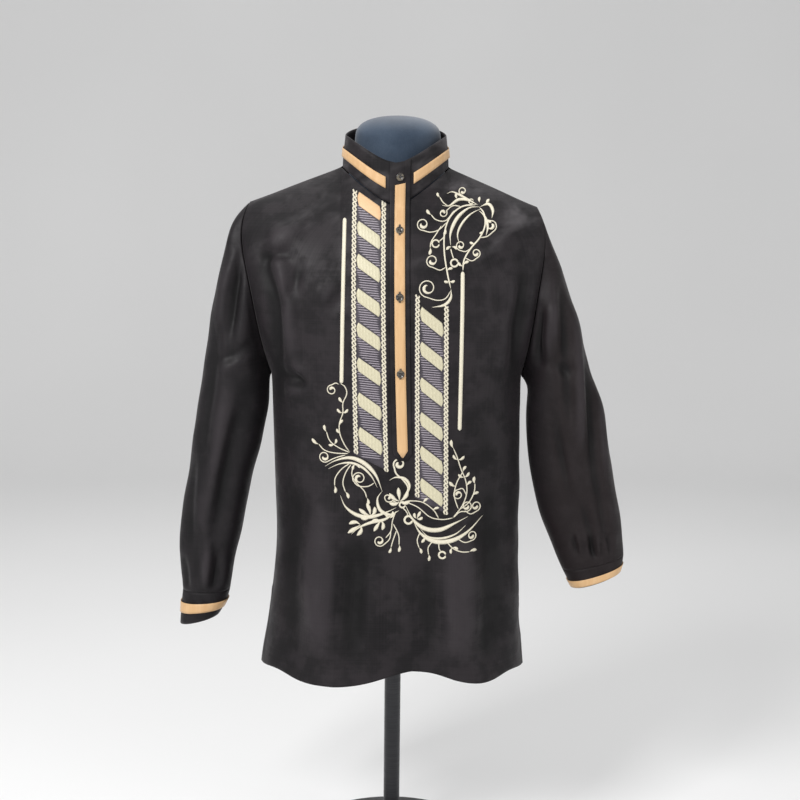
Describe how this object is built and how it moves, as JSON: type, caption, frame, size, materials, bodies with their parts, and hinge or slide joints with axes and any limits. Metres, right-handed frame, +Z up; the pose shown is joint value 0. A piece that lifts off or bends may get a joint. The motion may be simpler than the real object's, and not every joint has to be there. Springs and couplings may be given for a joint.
{
  "type": "barong tagalog shirt on a dress form",
  "caption": "Long-sleeved half-open barong tagalog shirt in black sheer cloth with gold ribbons and embroidered bands, worn on a limbless dress form.",
  "frame": {"origin": "centre of the base's underside, on the surface it stands on", "axes": "+Z up along the pole, the shirt's front faces -Y, +X is the viewer's right in front of it"},
  "size_m": [0.6787, 0.2917, 1.1219],
  "materials": {
    "cloth": "black sheer organza with a soft silvery sheen",
    "ribbon": "peach-gold woven ribbon, satin",
    "embroidery": "cream embroidery thread, satin stitch and braid",
    "button": "dark two-tone button, glossy",
    "form": "slate-blue knitted jersey, matt",
    "stand": "dark satin metal"
  },
  "bodies": {
    "root": {"front": "cloth", "back": "cloth", "sleeve_left": "cloth", "sleeve_right": "cloth", "cuff_left": "cloth", "cuff_right": "cloth", "collar": "cloth", "placket": "cloth", "cuff_trim_left": "ribbon", "cuff_trim_right": "ribbon", "collar_trim": "ribbon", "placket_trim": "ribbon", "band_left": "embroidery", "band_right": "embroidery", "line_left": "embroidery", "line_right": "embroidery", "button_1": "button", "button_2": "button", "button_3": "button", "button_4": "button", "form_torso": "form", "form_neck_cap": "form", "pole": "stand", "base": "stand"}
  },
  "joints": []
}
